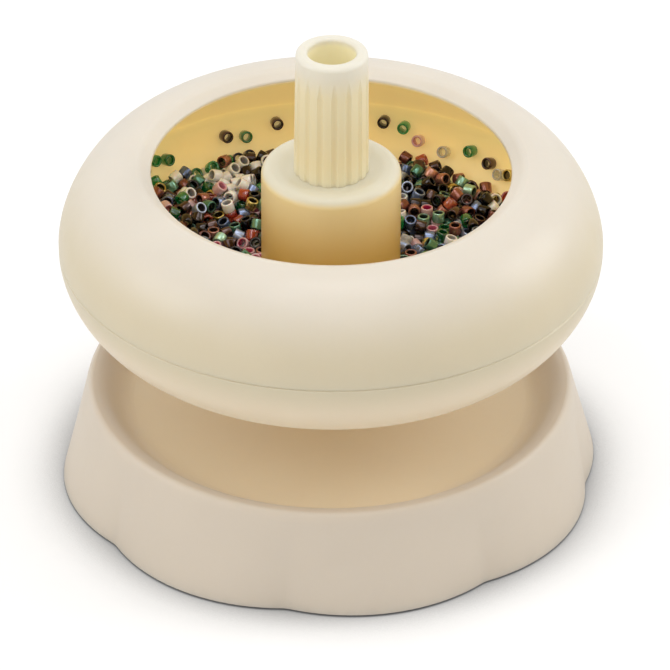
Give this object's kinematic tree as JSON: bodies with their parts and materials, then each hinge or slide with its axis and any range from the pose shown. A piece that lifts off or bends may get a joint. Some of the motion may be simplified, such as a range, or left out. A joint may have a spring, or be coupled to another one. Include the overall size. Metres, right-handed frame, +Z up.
{
  "type": "bead spinner",
  "caption": "Desktop bead spinner: a round bowl of beads turns on a ball-bearing axle in a flared scalloped base, spun by a hollow fluted finger knob.",
  "frame": {"origin": "on the spin axis, on the table that the feet stand on", "axes": "+Z up along the spin axis; +X and +Y each pass through the peak of a lobe of the base"},
  "size_m": [0.0686, 0.0686, 0.0606],
  "materials": {
    "base_plastic": "satin moulded ivory",
    "bowl_plastic": "semi-gloss translucent ivory",
    "hub_plastic": "semi-gloss translucent ivory",
    "knob_plastic": "semi-gloss translucent ivory",
    "axle_steel": "ground",
    "bearing_steel": "polished",
    "zinc_steel": "zinc plated",
    "cage_plastic": "moulded nylon",
    "foot_rubber": "matt",
    "glass_beads": "mixed small glass beads"
  },
  "bodies": {
    "base": {"base_shell": "base_plastic", "foot_pad_1": "foot_rubber", "foot_pad_2": "foot_rubber", "foot_pad_3": "foot_rubber", "foot_pad_4": "foot_rubber", "spindle_post": "base_plastic", "axle_pin": "axle_steel", "axle_washer": "zinc_steel", "axle_nut": "zinc_steel"},
    "bearing_core": {"lower_inner_race": "bearing_steel", "upper_inner_race": "bearing_steel", "inner_spacer_sleeve": "zinc_steel"},
    "lower_cage": {"lower_ball_cage": "cage_plastic", "lower_bearing_balls": "bearing_steel"},
    "upper_cage": {"upper_ball_cage": "cage_plastic", "upper_bearing_balls": "bearing_steel"},
    "bowl": {"bowl_upper_shell": "bowl_plastic", "bowl_lower_shell": "bowl_plastic", "hub_column": "hub_plastic", "bearing_retainer": "hub_plastic", "hub_screw_1": "zinc_steel", "hub_screw_2": "zinc_steel", "hub_screw_3": "zinc_steel", "lower_outer_race": "bearing_steel", "upper_outer_race": "bearing_steel", "outer_spacer_ring": "zinc_steel", "finger_knob": "knob_plastic", "bead_fill": "glass_beads"}
  },
  "joints": [
    {"name": "bowl_lift", "type": "slide", "parent": "base", "child": "bearing_core", "axis": [0, 0, 1], "range_m": [0, 0.02]},
    {"name": "bowl_spin", "type": "hinge", "parent": "bearing_core", "child": "bowl", "pos_m": [0, 0, 0.0338], "axis": [0, 0, 1], "continuous": true},
    {"name": "lower_cage_roll", "type": "hinge", "parent": "bearing_core", "child": "lower_cage", "pos_m": [0, 0, 0.028], "axis": [0, 0, 1], "continuous": true},
    {"name": "upper_cage_roll", "type": "hinge", "parent": "bearing_core", "child": "upper_cage", "pos_m": [0, 0, 0.0354], "axis": [0, 0, 1], "continuous": true}
  ],
  "couplings": [
    {"joint": "lower_cage_roll", "follows": "bowl_spin", "ratio": 0.64},
    {"joint": "upper_cage_roll", "follows": "bowl_spin", "ratio": 0.64}
  ]
}
